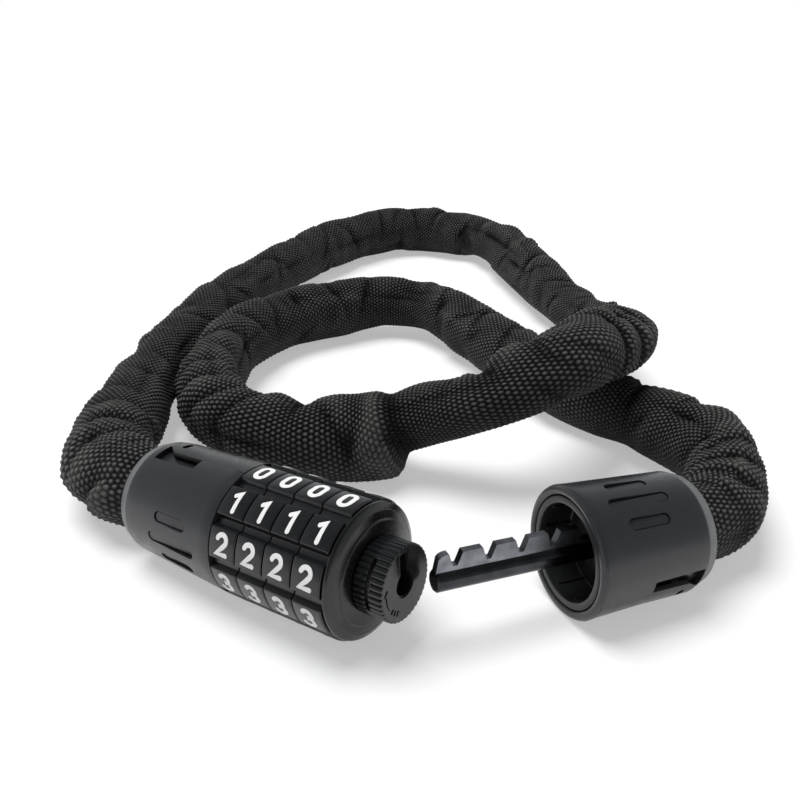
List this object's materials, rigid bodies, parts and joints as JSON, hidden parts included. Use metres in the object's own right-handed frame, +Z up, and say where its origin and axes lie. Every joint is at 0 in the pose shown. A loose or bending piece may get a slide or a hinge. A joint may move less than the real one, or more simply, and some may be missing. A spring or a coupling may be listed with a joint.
{
  "type": "combination chain lock",
  "caption": "Sleeved chain lock: dial barrel with numbered wheels and a setting knob, toothed bolt in a socket barrel, steel chain in a woven sleeve, lying in a loose loop",
  "frame": {"origin": "centre of the footprint of the two barrels, on the floor they lie on", "axes": "+Z up, +X to the right along the line from the dial barrel to the socket barrel, +Y away from the barrels, across the loop of chain"},
  "size_m": [0.2167, 0.3976, 0.051],
  "materials": {
    "chain_steel": "zinc-plated hardened wire, welded links",
    "sleeve_fabric": "woven black nylon tube, coarse basket weave",
    "clamp_steel": "crimped steel band",
    "casing_lacquer": "satin charcoal lacquer on die-cast zinc",
    "clip_steel": "blackened spring steel",
    "body_zinc": "bare die-cast zinc, matt",
    "core_steel": "turned steel tube",
    "pin_steel": "plain hardened pin",
    "spring_steel": "spring wire and strip",
    "wheel_brass": "turned brass",
    "dial_lacquer": "satin black lacquer with printed white digits",
    "cap_lacquer": "semi-gloss black lacquer",
    "knob_lacquer": "semi-gloss black lacquer, fine knurl",
    "liner_plastic": "moulded black plastic, scuffed rim",
    "bolt_nickel": "black-nickel plated steel, lighter on the fin"
  },
  "bodies": {
    "chain": {"chain_links": "chain_steel", "chain_sleeve": "sleeve_fabric", "sleeve_clamp_lock": "clamp_steel", "sleeve_clamp_socket": "clamp_steel"},
    "lock_barrel": {"lock_casing": "casing_lacquer", "lock_clip": "clip_steel", "lock_body": "body_zinc", "core_tube": "core_steel", "lock_anchor_pin": "pin_steel", "wheel_spring": "spring_steel", "detent_spring": "spring_steel", "end_cap": "cap_lacquer", "knob_clip": "spring_steel"},
    "dial_ring_1": {"dial_1": "dial_lacquer", "code_wheel_1": "wheel_brass"},
    "dial_ring_2": {"dial_2": "dial_lacquer", "code_wheel_2": "wheel_brass"},
    "dial_ring_3": {"dial_3": "dial_lacquer", "code_wheel_3": "wheel_brass"},
    "dial_ring_4": {"dial_4": "dial_lacquer", "code_wheel_4": "wheel_brass"},
    "knob": {"reset_knob": "knob_lacquer"},
    "socket_barrel": {"socket_casing": "casing_lacquer", "socket_liner": "liner_plastic", "socket_clip": "clip_steel", "socket_body": "body_zinc", "bolt": "bolt_nickel", "bolt_pin": "pin_steel", "socket_anchor_pin": "pin_steel"}
  },
  "joints": [
    {"name": "lock_swivel", "type": "hinge", "parent": "chain", "child": "lock_barrel", "pos_m": [-0.05981, 0.01581, 0.01613], "axis": [-0.0422, 0.0302, 0.9986], "range_deg": [-8, 0]},
    {"name": "socket_swivel", "type": "hinge", "parent": "chain", "child": "socket_barrel", "pos_m": [0.06134, -0.00007, 0.01605], "axis": [0.039, 0.0166, 0.9991], "range_deg": [0, 8]},
    {"name": "dial_turn_1", "type": "hinge", "parent": "lock_barrel", "child": "dial_ring_1", "pos_m": [-0.03509, -0.00189, 0.01771], "axis": [0.812, -0.5813, 0.052], "continuous": true},
    {"name": "dial_turn_2", "type": "hinge", "parent": "lock_barrel", "child": "dial_ring_2", "pos_m": [-0.02786, -0.00706, 0.01817], "axis": [0.812, -0.5813, 0.052], "continuous": true},
    {"name": "dial_turn_3", "type": "hinge", "parent": "lock_barrel", "child": "dial_ring_3", "pos_m": [-0.02063, -0.01223, 0.01863], "axis": [0.812, -0.5813, 0.052], "continuous": true},
    {"name": "dial_turn_4", "type": "hinge", "parent": "lock_barrel", "child": "dial_ring_4", "pos_m": [-0.01341, -0.01741, 0.0191], "axis": [0.812, -0.5813, 0.052], "continuous": true},
    {"name": "knob_turn", "type": "hinge", "parent": "lock_barrel", "child": "knob", "pos_m": [-0.00407, -0.02409, 0.01969], "axis": [0.812, -0.5813, 0.052], "range_deg": [0, 90]}
  ]
}
